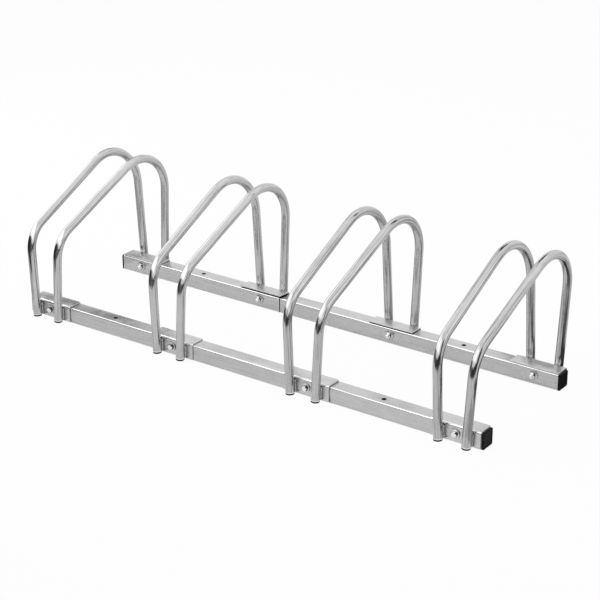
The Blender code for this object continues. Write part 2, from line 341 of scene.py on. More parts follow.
def bracket_bend(tree):
    """1 on the outside of a bracket's bend, 0 on its web and flange; the bend gets a painted highlight."""
    axes = piece_axes(tree)
    behind = calculate(tree, "SUBTRACT", axes[2], axes[1])
    flat_end = BRACKET_TOP - RAIL_HALF + WEB_FACE - BEND_OUTSIDE
    return remap(tree, behind, 0, 1, start=flat_end + 0.0003, end=flat_end + 0.0011)


def tube_ends(tree):
    """1 on the cut ends of a hoop, 0 along its length; there the tube gets a painted highlight."""
    place = piece_axes(tree, "tube_place")[2]
    from_middle = calculate(tree, "ABSOLUTE", calculate(tree, "SUBTRACT", place, 0.5))
    return remap(tree, from_middle, 0, 1, start=0.497, end=0.4985)


def weld_tint_and_shade(tree):
    """1 in the bands of the web beside the legs, 0 in the middle and at the ends; these bands get heat tint
    and painted shade of the crevice by the legs.
    """
    axes = piece_axes(tree)
    from_leg = calculate(tree, "SUBTRACT", calculate(tree, "ABSOLUTE", axes[0]), HOOP_GAP / 2)
    distance = calculate(tree, "ABSOLUTE", from_leg)
    near = remap(tree, distance, 1, 0, start=TUBE_RADIUS + 0.001, end=TUBE_RADIUS + 0.0045)
    on_web = remap(tree, axes[1], 1, 0, start=0.001 - WEB_FACE, end=0.002 - WEB_FACE)
    return calculate(tree, "MULTIPLY", near, on_web)


def darken_tint_and_shade(tree, color, base, tint_and_shade):
    """Colour with a grainy, darker tint where the mask is 1: heat tint and painted shade."""
    grit = noise(tree, surface_point(tree), 500, detail=4, roughness=0.6)
    darkened = calculate(tree, "MULTIPLY", tint_and_shade(tree), remap(tree, grit, 0.25, 1))
    return blend_colors(tree, darkened, color, toned(base, 0.8))


def paint_edge_highlight(tree, color, gloss, base, highlight_mask):
    """Colour and roughness that turn pale and smooth where the mask is 1; the pale colour is a painted
    highlight.
    """
    share = highlight_mask(tree)
    pale = tuple(min(0.85, channel) for channel in toned(base, 1.5))
    rough = calculate(tree, "MULTIPLY", calculate(tree, "SUBTRACT", 1.0, share), gloss)
    return blend_colors(tree, share, color, pale), calculate(tree, "MULTIPLY_ADD", share, 0.12, rough)


# Materials


def zinc(
    name,
    base,
    roughness,
    along,
    line_scale,
    draw,
    cover=0.52,
    mottle=0.06,
    wave=0.00007,
    attribute=None,
    highlight_mask=None,
    tint_and_shade=None,
):
    """Zinc-plated steel with lines along one axis, cloudy tone, patchy gloss, edges with a painted highlight
    and smoother gloss, and bands of heat tint with painted shade.

    The lines are darker with more draw and fewer with more cover. Mottle is how much the tone
    varies, and wave is the height of broad bands along the same axis.
    """
    material, tree, shader = new_material(name, 1.0)
    clouds = noise(tree, surface_point(tree, attribute=attribute), CLOUD_SCALE, detail=5, roughness=0.6)
    streaks = drawn_noise(tree, along, LINE_STRETCH, attribute, line_scale, detail=4, roughness=0.65)
    bands = drawn_noise(tree, along, BAND_STRETCH, attribute, line_scale / 5, detail=2)
    cloudy = remap(tree, clouds, 0, 1)
    color = blend_colors(tree, cloudy, toned(base, 1 - mottle), toned(base, 1 + mottle))
    lines = remap(tree, streaks, 0, 1, start=cover, end=cover + LINE_FADE)
    color = blend_colors(tree, lines, color, toned(base, 1 - draw))
    gloss = remap(tree, clouds, roughness * 0.85, roughness * 1.25)
    # Heat tint and painted shade: a darker colour in the bands beside the legs
    if tint_and_shade:
        color = darken_tint_and_shade(tree, color, base, tint_and_shade)
    # Painted highlight: a paler colour, with smoother gloss, where the mask is 1
    if highlight_mask:
        color, gloss = paint_edge_highlight(tree, color, gloss, base, highlight_mask)
    tree.links.new(color, shader.inputs["Base Color"])
    tree.links.new(gloss, shader.inputs["Roughness"])
    first = add_bump(tree, shader, streaks, LINE_DEPTH)
    add_bump(tree, shader, bands, wave, after=first)
    return material


def tube_zinc(name, roughness, draw, cover):
    """Drawn round tube with a painted highlight on its cut ends."""
    finish = {"draw": draw, "cover": cover, "attribute": "tube_place", "highlight_mask": tube_ends}
    return zinc(name, TUBE_TONE, roughness, ALONG_Z, TUBE_LINES, **finish)


def rail_zinc():
    """Drawn square tube with a painted highlight on its rounded corners."""
    tone = (0.585, 0.588, 0.586)
    return zinc("zinc_rail_drawn", tone, 0.28, ALONG_X, 800, 0.22, highlight_mask=rail_edges)


def plate_zinc():
    """Rolled sheet with a painted highlight on the bend, and a darker band beside the welds that is heat tint
    and painted shade.
    """
    tone = (0.6, 0.603, 0.6)
    looks = {"mottle": 0.1, "wave": 0.00003, "highlight_mask": bracket_bend, "tint_and_shade": weld_tint_and_shade}
    return zinc("zinc_plate_rolled", tone, 0.26, ALONG_X, 500, 0.2, **looks)


def fastener_zinc():
    """Bright faces of the bolts and nuts: the lit copy of the zinc whose dark copy paints shade on the
    flanks.
    """
    return zinc("zinc_fastener_bright", (0.88, 0.883, 0.88), 0.18, ALONG_Z, 600, 0.15)


def shaded_flank_zinc():
    """Painted shade on the hexagons' flanks: a dark copy of the bright fastener zinc."""
    return zinc("zinc_flank_dull", (0.12, 0.12, 0.118), 0.35, ALONG_Z, 600, 0.3)


def washer_zinc():
    """Mottled washers, duller than the bolts."""
    return zinc("zinc_washer_dull", (0.6, 0.602, 0.6), 0.2, ALONG_Z, 300, 0.2, mottle=0.15)


def dark_steel():
    """Near-black, dull steel on hidden and inner faces: a brown-grey oxide film, and painted shade in the
    bore, the holes and under the flanges.
    """
    material, tree, shader = new_material("dark_steel", 0.4)
    point = surface_point(tree)
    patches = noise(tree, point, 160, detail=4, roughness=0.6)
    color = blend_colors(tree, remap(tree, patches, 0, 1), (0.012, 0.0115, 0.011), (0.035, 0.033, 0.031))
    tree.links.new(color, shader.inputs["Base Color"])
    tree.links.new(remap(tree, patches, 0.85, 0.65), shader.inputs["Roughness"])
    shader.inputs["Specular IOR Level"].default_value = 0.1
    add_bump(tree, shader, noise(tree, point, 1400), 0.0001)
    return material


def weld_metal():
    """Rough weld bead under the zinc, dull grey with darker heat-tinted patches."""
    material, tree, shader = new_material("weld_zinc", 1.0)
    point = surface_point(tree)
    patches = noise(tree, point, 420, detail=4, roughness=0.6)
    color = blend_colors(tree, remap(tree, patches, 0, 1), (0.3, 0.3, 0.295), (0.6, 0.6, 0.59))
    tree.links.new(color, shader.inputs["Base Color"])
    tree.links.new(remap(tree, patches, 0.55, 0.32), shader.inputs["Roughness"])
    add_bump(tree, shader, noise(tree, point, 900), 0.0002)
    return material


def black_plastic():
    """Moulded black plastic with a fine spark-eroded grain and faint flow clouds."""
    material, tree, shader = new_material("black_plastic")
    point = surface_point(tree)
    clouds = noise(tree, point, 90)
    color = blend_colors(tree, remap(tree, clouds, 0, 1), (0.005, 0.005, 0.0052), (0.012, 0.012, 0.0122))
    tree.links.new(color, shader.inputs["Base Color"])
    grain = noise(tree, point, 2600, detail=2, roughness=0.6)
    tree.links.new(remap(tree, grain, 0.42, 0.6), shader.inputs["Roughness"])
    shader.inputs["Specular IOR Level"].default_value = 0.1
    add_bump(tree, shader, grain, 0.00006)
    return material


# Mesh helpers


def smooth(mesh, sharp_angle=SHARP_ANGLE):
    """Smooth shading between the sharp edges."""
    mesh.shade_smooth()
    mesh.set_sharp_from_angle(angle=math.radians(sharp_angle))


def finish_mesh(work, name, sharp_angle=SHARP_ANGLE):
    """Mesh from a bmesh, outward facing and smooth between its sharp edges."""
    bmesh.ops.remove_doubles(work, verts=work.verts, dist=1e-7)
    bmesh.ops.recalc_face_normals(work, faces=work.faces)
    mesh = bpy.data.meshes.new(name)
    work.to_mesh(mesh)
    work.free()
    smooth(mesh, sharp_angle)
    return mesh


def ring_mesh(name, rings, closed=False, sharp_angle=SHARP_ANGLE):
    """Mesh between rings of equally many points, closed in a loop or capped at both ends."""
    work = bmesh.new()
    loops = [[work.verts.new(point) for point in ring] for ring in rings]
    pairs = list(zip(loops, loops[1:]))
    if closed:
        pairs.append((loops[-1], loops[0]))
    else:
        work.faces.new(loops[0])
        work.faces.new(loops[-1])
    for first, second in pairs:
        for index in range(len(first)):
            after = (index + 1) % len(first)
            work.faces.new((first[index], first[after], second[after], second[index]))
    return finish_mesh(work, name, sharp_angle)


def around(radius, turn, height):
    """Point at a radius, an angle in radians and a height about Z."""
    return Vector((radius * math.cos(turn), radius * math.sin(turn), height))


def round_ring(radius, height):
    """Ring of points about Z."""
    return [around(radius, turn, height) for turn in ring_turns(ROUND_SIDES)]


def lathe(name, profile, closed=False, sharp_angle=SHARP_ANGLE):
    """Round mesh about Z from (radius, height) pairs."""
    rings = [round_ring(radius, height) for radius, height in profile]
    return ring_mesh(name, rings, closed, sharp_angle)


def square_ring(reach, size):
    """Outline of a square with rounded corners in Y and Z, from (side, corner) and a place along X."""
    side, corner = size
    inset = side / 2 - corner
    points = []
    for quarter, (side_y, side_z) in enumerate(((1, 1), (-1, 1), (-1, -1), (1, -1))):
        middle = Vector((reach, side_y * inset, side_z * inset))
        for angle in spread(90 * quarter, 90 * (quarter + 1), CORNER_STEPS):
            points.append(middle + corner * heading(angle))
    return points


def drill(item, center, radius, length, axis):
    """Round hole through a piece, along Y or Z."""
    work = bmesh.new()
    bmesh.ops.create_cone(
        work, cap_ends=True, segments=ROUND_SIDES, radius1=radius, radius2=radius, depth=length
    )
    mesh = bpy.data.meshes.new("drill")
    work.to_mesh(mesh)
    work.free()
    cutter = new_object("drill", mesh)
    cutter.location = center
    if axis == "Y":
        cutter.rotation_euler.x = math.radians(90)
    cut = item.modifiers.new("hole", "BOOLEAN")
    cut.operation = "DIFFERENCE"
    cut.solver = "EXACT"
    cut.object = cutter


def bake(item):
    """Mesh of an object with its modifiers applied; the object and its cutters go."""
    cutters = [modifier.object for modifier in item.modifiers if modifier.type == "BOOLEAN"]
    bpy.context.view_layer.update()
    graph = bpy.context.evaluated_depsgraph_get()
    mesh = bpy.data.meshes.new_from_object(item.evaluated_get(graph))
    mesh.name = item.name
    smooth(mesh)
    for spare in [item, *cutters]:
        bpy.data.objects.remove(spare, do_unlink=True)
    return mesh


def painted(mesh, material, second=None, chosen=None):
    """Mesh with its material, and a second one on faces chosen by their centre and normal."""
    mesh.materials.append(material)
    if second:
        mesh.materials.append(second)
        for face in mesh.polygons:
            face.material_index = int(chosen(face.center, face.normal))
    return mesh


def add_piece(name, mesh, matrix, stands_for=()):
    """Piece of the stand, placed by a matrix, riding on the one body."""
    item = new_object(name, mesh)
    item.matrix_world = matrix
    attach(item, "root")
    if stands_for:
        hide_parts(*stands_for)


# Hoops


def foot_offset(lean):
    """Distance from the rail's centre line to the foot of a leg that leans on the web."""
    return WEB_FACE + FIT + TUBE_RADIUS + BRACKET_TOP * math.tan(math.radians(lean))


def front_foot():
    """Underside of the front leg's cap, in the hoop's plane."""
    return Vector((0, -RAIL_SPACING / 2 - foot_offset(FRONT_LEAN), 0))


def rear_foot():
    """Underside of the rear leg's cap, in the hoop's plane."""
    return Vector((0, RAIL_SPACING / 2 + foot_offset(REAR_LEAN), 0))


def turned_share(along, ease):
    """Share of a bend's turn that is done after a share of its length, if it eases in and out."""
    rate = 1 / (1 - ease)
    if along < ease:
        return rate * along**2 / (2 * ease)
    if along > 1 - ease:
        return 1 - rate * (1 - along) ** 2 / (2 * ease)
    return rate * (along - ease / 2)


def bend_stations(corner, radius, start, end, ease):
    """Points and headings of an eased bend that passes its corner as an arc of the radius does."""
    half_turn = math.radians(start - end) / 2
    steps = 2 * max(2, round((start - end) / BEND_STEP / 2))
    angles = [start + (end - start) * turned_share(share, ease) for share in spread(0, 1, steps)]
    path = [Vector((0, 0, 0))]
    for before, after in zip(angles, angles[1:]):
        path.append(path[-1] + heading((before + after) / 2))
    reach = path[-1].length / 2 / math.cos(half_turn)
    passing = reach * math.sin(half_turn) - (path[steps // 2] - path[-1] / 2).length
    scale = radius * (1 / math.cos(half_turn) - 1) / passing
    first = corner - scale * reach * heading(start)
    return [(first + scale * point, angle) for point, angle in zip(path, angles)]


def hoop_stations():
    """Centre line of a hoop as points with their headings."""
    front = 90 - FRONT_LEAN
    rear = REAR_LEAN - 90
    up_front = heading(front)
    up_rear = heading(90 + REAR_LEAN)
    knee = front_foot() + up_front * (KNEE_HEIGHT / up_front.z)
    crown = rear_foot() + up_rear * ((CROWN_HEIGHT - CROWN_DROP) / up_rear.z)
    rise = math.degrees(math.atan2(crown.z - knee.z, crown.y - knee.y))
    leg_start = LEG_CAP_FLANGE + FIT
    stations = [(front_foot() + leg_start * up_front, front)]
    stations += bend_stations(knee, KNEE_RADIUS, front, rise, KNEE_EASE)
    stations += bend_stations(crown, CROWN_RADIUS, rise, rear, CROWN_EASE)
    stations.append((rear_foot() + leg_start * up_rear, rear))
    return stations


def fill_straights(stations):
    """Stations with points added where two are far apart."""
    filled = [stations[0]]
    for before, after in zip(stations, stations[1:]):
        steps = max(1, math.ceil((after[0] - before[0]).length / LONGEST_STRETCH))
        for share in spread(0, 1, steps)[1:]:
            filled.append((before[0].lerp(after[0], share), before[1] + (after[1] - before[1]) * share))
    return filled


def tube_ring(point, angle, radius):
    """Ring of points around the hoop's centre line."""
    across = heading(angle + 90)
    aside = Vector((1, 0, 0))
    ring = []
    for turn in ring_turns(TUBE_SIDES):
        ring.append(point + radius * (math.cos(turn) * across + math.sin(turn) * aside))
    return ring


def rim_rings(point, angle, outward):
    """Rings that round the cut end of the tube, from its outside to its inside."""
    inner_edge = round_over(TUBE_EDGE, 2)
    profile = [(TUBE_RADIUS - inset, -drop) for inset, drop in reversed(inner_edge)]
    profile += [(TUBE_BORE + inset, -drop) for inset, drop in inner_edge]
    along = outward * heading(angle)
    return [tube_ring(point + shift * along, angle, radius) for radius, shift in profile]


def hoop_mesh():
    """Bent tube with its wall, and each point's place on the straightened tube."""
    stations = fill_straights(hoop_stations())
    outer = [tube_ring(point, angle, TUBE_RADIUS) for point, angle in stations[1:-1]]
    inner = [tube_ring(point, angle, TUBE_BORE) for point, angle in stations[1:-1]]
    front_rim = rim_rings(*stations[0], -1)
    rear_rim = rim_rings(*stations[-1], 1)
    rings = outer + rear_rim + inner[::-1] + front_rim[::-1]
    lengths = [0.0]
    for before, after in zip(stations, stations[1:]):
        lengths.append(lengths[-1] + (after[0] - before[0]).length)
    total = lengths[-1]
    ring_lengths = lengths[1:-1] + [total] * len(rear_rim)
    ring_lengths += lengths[-2:0:-1] + [0.0] * len(front_rim)
    places = []
    for length in ring_lengths:
        for turn in ring_turns(TUBE_SIDES):
            places.extend(around(TUBE_RADIUS, turn, length / total))
    mesh = ring_mesh("hoop", rings, closed=True, sharp_angle=60)
    layer = mesh.attributes.new("tube_place", "FLOAT_VECTOR", "POINT")
    layer.data.foreach_set("vector", places)
    return mesh


def leg_cap_mesh():
    """Round plastic cap with a soft lower edge and a plug, standing on its flange."""
    center = 0.0005
    base = TUBE_RADIUS - LEG_CAP_TAPER / 2
    outer = TUBE_RADIUS - LEG_CAP_RIM / 2
    plug = TUBE_BORE - FIT
    plug_top = LEG_CAP_FLANGE + LEG_CAP_PLUG
    profile = [(center, 0)]
    profile += [(base - inset, drop) for inset, drop in round_over(LEG_CAP_EDGE)]
    profile += [(outer, LEG_CAP_FLANGE - LEG_CAP_RIM), (outer - LEG_CAP_RIM, LEG_CAP_FLANGE)]
    profile += [(plug, LEG_CAP_FLANGE), (plug, plug_top), (center, plug_top)]
    return lathe("leg_cap", profile)


# Rails, end caps and brackets


def rail_mesh(name, start, end, places):
    """One length of rail with its wall, bolt holes and fixing holes."""
    bore = (RAIL_SIZE - 2 * RAIL_WALL + RAIL_BURR / 2, RAIL_CORNER - RAIL_WALL)
    outside = (RAIL_SIZE, RAIL_CORNER)
    edge = (RAIL_SIZE - RAIL_BURR, RAIL_CORNER)
    profile = [
        (start, bore),
        (start, edge),
        (start + RAIL_BURR, outside),
        (end - RAIL_BURR, outside),
        (end, edge),
        (end, bore),
    ]
    rings = [square_ring(reach, size) for reach, size in profile]
    rail = new_object(name, ring_mesh(name, rings, closed=True))
    for index in places:
        drill(rail, (place_x(index), 0, BOLT_HEIGHT - RAIL_HALF), BORE, 2 * RAIL_SIZE, "Y")
    for index in places[:-1]:
        middle = (place_x(index) + place_x(index + 1)) / 2
        drill(rail, (middle, 0, 0), FIXING_HOLE / 2, 2 * RAIL_SIZE, "Z")
    return bake(rail)


def end_cap_mesh():
    """Square plastic cap for a rail's right end: a soft-edged, slightly dished flange and a plug."""
    stem = RAIL_SIZE - 2 * (RAIL_WALL + FIT)
    profile = [*END_CAP_DISH]
    profile += [(2 * inset, drop) for inset, drop in round_over(END_CAP_EDGE)]
    sections = [(RAIL_SIZE - inset, END_CAP_FLANGE - drop) for inset, drop in profile]
    sections += [(RAIL_SIZE, FIT), (stem, FIT), (stem, -END_CAP_PLUG)]
    rings = [square_ring(reach, (size, RAIL_CORNER * size / RAIL_SIZE)) for size, reach in sections]
    return ring_mesh("end_cap", rings, sharp_angle=50)


def bracket_mesh(name, lift):
    """Bent sheet angle whose flange rises by lift towards its free end."""
    top = BRACKET_TOP - RAIL_HALF
    underside = top - BRACKET_SHEET
    margin = 0.0001
    web_end = WEB_SETBACK - RAIL_HALF
    flange_start = BEND_OUTSIDE - WEB_FACE
    flange_end = RAIL_HALF - FLANGE_SETBACK
    bend = Vector((0, flange_start, top - BEND_OUTSIDE))
    section = [Vector((0, -WEB_FACE, web_end))]
    section += [bend + BEND_OUTSIDE * heading(angle) for angle in spread(180, 90, CORNER_STEPS)]
    section += [Vector((0, flange_end, top)), Vector((0, flange_end, underside))]
    section += [bend + BRACKET_BEND * heading(angle) for angle in spread(90, 180, CORNER_STEPS)]
    section.append(Vector((0, BRACKET_SHEET - WEB_FACE, web_end)))
    for point in section:
        if point.z > underside - margin:
            point.z += lift * max(0.0, (point.y - flange_start) / (flange_end - flange_start))
    half = Vector((BRACKET_LENGTH / 2, 0, 0))
    ends = [[point - half for point in section], [point + half for point in section]]
    bracket = new_object(name, ring_mesh(name, ends))
    drill(bracket, (0, -WEB_FACE, BOLT_HEIGHT - RAIL_HALF), BORE, 4 * BRACKET_SHEET, "Y")
    soften = bracket.modifiers.new("edges", "BEVEL")
    soften.width = BRACKET_EDGE
    soften.segments = 4
    soften.limit_method = "ANGLE"
    soften.angle_limit = math.radians(50)
    return bake(bracket)


# Bolts, nuts, washers and welds


def hex_ring(height, side):
    """Ring on a hexagon's flanks; a chamfer raises (1) or lowers (-1) its corners, or neither (0)."""
    sector = math.radians(60)
    slope = math.tan(math.radians(30))
    ring = []
    for turn in ring_turns(ROUND_SIDES):
        radius = HEX_ACROSS_FLATS / 2 / math.cos((turn % sector) - sector / 2)
        ring.append(around(radius, turn, height + side * (radius - HEX_FLAT) * slope))
    return ring


def thread_rings(start, end):
    """Rings of a helical thread about Z, from start to its pointed end."""
    rings = []
    steps = round(abs(end - start) / (THREAD_PITCH / THREAD_STEPS))
    for height in spread(start, end, steps):
        ring = []
        worn = 1 - min(1.0, abs(end - height) / THREAD_PITCH)
        for turn in ring_turns(ROUND_SIDES):
            phase = (height / THREAD_PITCH - turn / (2 * math.pi)) % 1
            groove = abs(2 * phase - 1)
            radius = BOLT_RADIUS - THREAD_DEPTH * groove - THREAD_POINT * worn
            ring.append(around(radius, turn, height))
        rings.append(ring)
    return rings


def bolt_mesh():
    """Hex bolt along Z: head outward at +Z, threaded tip at -Z; Z = 0 on the rail's centre plane."""
    head_bottom = WEB_FACE + FIT + WASHER_THICKNESS
    head_top = head_bottom + HEAD_HEIGHT
    nut_face = -(RAIL_HALF + FIT + WASHER_THICKNESS + NUT_HEIGHT)
    thread = thread_rings(nut_face + THREAD_PITCH / 2, nut_face - BOLT_TIP)
    shank = [round_ring(BOLT_RADIUS, height) for height in (nut_face + THREAD_PITCH, head_bottom)]
    head = [hex_ring(head_bottom, 0), hex_ring(head_top, -1), round_ring(HEX_FLAT, head_top)]
    dish = round_ring(HEX_ACROSS_FLATS / 2 * HEAD_DISH_SHARE, head_top - HEAD_DISH)
    return ring_mesh("bolt", thread[::-1] + shank + head + [dish], sharp_angle=28)


def nut_mesh():
    """Hex nut along Z with both ends turned off, its seat at -Z."""
    seat = -(RAIL_HALF + FIT + WASHER_THICKNESS)
    face = seat - NUT_HEIGHT
    outside = [round_ring(HEX_FLAT, face), hex_ring(face, 1), hex_ring(seat, -1), round_ring(HEX_FLAT, seat)]
    bore = [(BORE + NUT_SEAT_SINK, seat), (BORE, seat - NUT_SINK)]
    bore += [(BORE, face + NUT_SINK), (BORE + NUT_SINK, face)]
    inside = [round_ring(radius, height) for radius, height in bore]
    return ring_mesh("nut", outside + inside, closed=True, sharp_angle=28)


def washer_mesh(name, back):
    """Flat washer along Z whose back lies at the given height."""
    soft = WASHER_EDGE
    front = back + WASHER_THICKNESS
    outer = WASHER_DIAMETER / 2
    profile = [
        (BORE, back),
        (outer - soft, back),
        (outer, back + soft),
        (outer, front - soft),
        (outer - soft * 0.3, front - soft * 0.3),
        (outer - soft, front),
        (BORE + soft, front),
        (BORE, front - soft),
    ]
    return lathe(name, profile, closed=True, sharp_angle=50)


def weld_mesh(name, side, length, rng):
    """Rippled bead up one side of a leg, along Z from the origin, bulging away from the web."""
    count = round(length / WELD_PITCH) * WELD_STEPS
    rings = []
    for step in range(count + 1):
        share = step / count
        ripple = 1 - WELD_RIPPLE + WELD_RIPPLE * abs(math.sin(math.pi * step / WELD_STEPS))
        ends = min(1.0, min(share, 1 - share) / WELD_TAPER + WELD_BLUNT_END)
        radius = WELD_RADIUS * ends * ripple * rng.uniform(1 - WELD_JITTER, 1 + WELD_JITTER)
        drift = rng.uniform(-WELD_DRIFT, WELD_DRIFT)
        ring = []
        for turn in ring_turns(WELD_SIDES):
            across = side * radius * WELD_WIDTH * math.cos(turn) + drift
            outward = radius * WELD_BULGE * math.sin(turn)
            height = share * length - WELD_SAG * math.sin(turn) ** 2
            ring.append(Vector((across, outward, height)))
        rings.append(ring)
    return ring_mesh(name, rings, sharp_angle=80)


# Assembly


def side_matrix(side):
    """Frame of one rail: origin on its centre line, -Y outward."""
    if side == "front":
        return Matrix.Translation((0, -RAIL_SPACING / 2, RAIL_HALF))
    return Matrix.Translation((0, RAIL_SPACING / 2, RAIL_HALF)) @ Matrix.Rotation(math.pi, 4, "Z")


def local_x(side, index):
    """Place along the rail in the side's own frame, for a wheel place counted from the left."""
    return place_x(index) if side == "front" else -place_x(index)


def hoop_matrix(index, hand):
    """Place and flare of a hoop."""
    spot = (place_x(index) + hand * HOOP_GAP / 2, 0, FOOT_HEIGHT)
    return Matrix.Translation(spot) @ Matrix.Rotation(math.radians(hand * HOOP_FLARE), 4, "Y")


def build_hoops(metals, plastic):
    """Hoops, with one metal for each wheel place, and their leg caps."""
    cap = painted(leg_cap_mesh(), plastic)
    feet = (("front", front_foot(), -FRONT_LEAN), ("rear", rear_foot(), REAR_LEAN))
    for index, metal in enumerate(metals):
        hoop = painted(hoop_mesh(), metal)
        for word, hand in (("left", -1), ("right", 1)):
            matrix = hoop_matrix(index, hand)
            name = f"hoop_{index + 1}_{word}"
            add_piece(f"{name}_tube", hoop, matrix, [name])
            for end, foot, lean in feet:
                spot = matrix @ Matrix.Translation(foot) @ Matrix.Rotation(math.radians(lean), 4, "X")
                node = f"leg_cap_{index + 1}_{word}_{end}"
                add_piece(f"{node}_moulded", cap, spot, [node])


def inside_rail(center, normal):
    """True for the faces of a rail's bore and of its fixing holes, which get the near-black steel as oxide
    and painted shade.
    """
    in_bore = max(abs(center.y), abs(center.z)) < RAIL_HALF - RAIL_WALL / 2
    in_hole = abs(center.y) < 0.6 * FIXING_HOLE and abs(normal.z) < 0.5 and abs(normal.x) < 0.99
    return in_bore or in_hole


def shaded_flange_underside(center, normal):
    """True for the face of a bracket's flange that lies over the rail, which gets the near-black steel as
    painted shade in the gap.
    """
    return normal.z < -0.9 and center.z > RAIL_HALF - 0.001


def on_shaded_flank(center, normal):
    """True for the flat sides of a hex head or nut, which get painted shade, but for the one that faces up,
    which stays bright as if lit.
    """
    outside = math.hypot(center.x, center.y) > 0.4 * HEX_ACROSS_FLATS
    return outside and abs(normal.z) < 0.3 and normal.y < 0.9


def build_rails(metal, dark, plastic):
    """Rail lengths and their end caps; the hidden splices only get a material."""
    first_short = PLACE_COUNT - SHORT_PLACES
    joint = place_x(first_short) - BRACKET_LENGTH / 2
    gap = RAIL_JOINT_GAP / 2
    long_rail = rail_mesh("rail_long", -RAIL_END, joint - gap, range(first_short))
    short_rail = rail_mesh("rail_short", joint + gap, RAIL_END, range(first_short, PLACE_COUNT))
    cap = painted(end_cap_mesh(), plastic)
    for mesh in (long_rail, short_rail):
        # The bore and the fixing holes get the near-black steel: oxide and painted shade
        painted(mesh, metal, dark, inside_rail)
    for side in ("front", "rear"):
        base = side_matrix(side)
        for word, mesh in (("long", long_rail), ("short", short_rail)):
            node = f"{side}_rail_{word}"
            add_piece(f"{node}_tube", mesh, base, [node])
        for word, reach, turn in (("left", -RAIL_END, math.pi), ("right", RAIL_END, 0)):
            spot = Matrix.Translation((reach, base.translation.y, RAIL_HALF))
            node = f"{side}_end_cap_{word}"
            turned = spot @ Matrix.Rotation(turn, 4, "Z")
            add_piece(f"{node}_moulded", cap, turned, [node])
        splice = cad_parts[f"{side}_rail_splice"].data
        splice.materials.clear()
        splice.materials.append(dark)


def build_brackets(metal, dark):
    """Brackets; the flanges of two at the rear stand a little off the rail."""
    for side in ("front", "rear"):
        lifts = REAR_FLANGE_LIFTS if side == "rear" else {}
        for index in range(PLACE_COUNT):
            node = f"{side}_bracket_{index + 1}"
            mesh = bracket_mesh(f"{node}_mesh", lifts.get(index, FLANGE_LIFT))
            # The flange's underside gets the near-black steel as painted shade in the gap
            painted(mesh, metal, dark, shaded_flange_underside)
            spot = side_matrix(side) @ Matrix.Translation((local_x(side, index), 0, 0))
            add_piece(f"{node}_sheet", mesh, spot, [node])


def build_fasteners(metal, dull, flank):
    """Bolts, nuts and washers, each bolt and nut turned a little differently."""
    rng = random.Random(7)
    bolt = painted(bolt_mesh(), metal, flank, on_shaded_flank)
    nut = painted(nut_mesh(), metal, flank, on_shaded_flank)
    outer_washer = painted(washer_mesh("outer_washer", WEB_FACE + FIT), dull)
    inner_washer = painted(washer_mesh("inner_washer", -(RAIL_HALF + FIT) - WASHER_THICKNESS), dull)
    hexagons = (("bolt", "threaded", bolt), ("nut", "hex", nut))
    washers = (("bolt", outer_washer), ("nut", inner_washer))
    outward = Matrix.Rotation(math.radians(90), 4, "X")
    for side in ("front", "rear"):
        for index in range(PLACE_COUNT):
            spot = Matrix.Translation((local_x(side, index), 0, BOLT_HEIGHT - RAIL_HALF))
            base = side_matrix(side) @ spot @ outward
            for kind, ending, mesh in hexagons:
                node = f"{side}_{kind}_{index + 1}"
                turned = base @ Matrix.Rotation(rng.uniform(-BOLT_TWIST, BOLT_TWIST), 4, "Z")
                add_piece(f"{node}_{ending}", mesh, turned, [node])
            for kind, mesh in washers:
                add_piece(f"{side}_{kind}_washer_{index + 1}", mesh, base)


def build_welds(metal):
    """Two beads where each leg meets its bracket's web."""
    rng = random.Random(11)
    length = BRACKET_TOP - BEND_OUTSIDE - WELD_BOTTOM
    for side, outward in (("front", -1), ("rear", 1)):
        y = outward * (RAIL_SPACING / 2 + WEB_FACE + WELD_DEPTH)
        for index in range(PLACE_COUNT):
            for word, hand in (("left", -1), ("right", 1)):
                leg_x = place_x(index) + hand * HOOP_GAP / 2
                lean = Matrix.Rotation(math.radians(hand * HOOP_FLARE), 4, "Y")
                for edge, step in (("inner", -hand), ("outer", hand)):
                    name = f"{side}_weld_{index + 1}_{word}_{edge}"
                    mesh = painted(weld_mesh(name, step, length, rng), metal)
                    spot = (leg_x + step * (TUBE_RADIUS - WELD_DEPTH), y, WELD_BOTTOM)
                    add_piece(name, mesh, Matrix.Translation(spot) @ lean)


def build_stand():
    """All pieces of the stand; the tubes of the last two places are the more streaked ones."""
    tube = tube_zinc("zinc_tube_drawn", 0.13, 0.38, 0.52)
    streaked = tube_zinc("zinc_tube_streaked", 0.15, 0.55, 0.5)
    dark = dark_steel()
    plastic = black_plastic()
    build_hoops((tube, tube, streaked, streaked), plastic)
    build_rails(rail_zinc(), dark, plastic)
    build_brackets(plate_zinc(), dark)
    build_fasteners(fastener_zinc(), washer_zinc(), shaded_flank_zinc())
    build_welds(weld_metal())


# Studio


def add_camera():
    """Camera at the photograph's place and angle."""
    turn, rise, roll = (math.radians(value) for value in (CAMERA_TURN, CAMERA_RISE, CAMERA_ROLL))
    back = Vector((math.sin(turn) * math.cos(rise), -math.cos(turn) * math.cos(rise), math.sin(rise)))
    right = Vector((math.cos(turn), math.sin(turn), 0))
    up = back.cross(right)
    rolled_right = math.cos(roll) * right + math.sin(roll) * up
    rolled_up = math.cos(roll) * up - math.sin(roll) * right
    data = bpy.data.cameras.new("camera")
    data.sensor_width = CAMERA_SENSOR
    data.lens = CAMERA_LENS
    data.clip_start = 0.1
    data.clip_end = 100
    camera = new_object("camera", data)
    axes = Matrix((rolled_right, rolled_up, back)).transposed().to_4x4()
    camera.matrix_world = Matrix.Translation(CAMERA_PLACE) @ axes
    bpy.context.scene.camera = camera


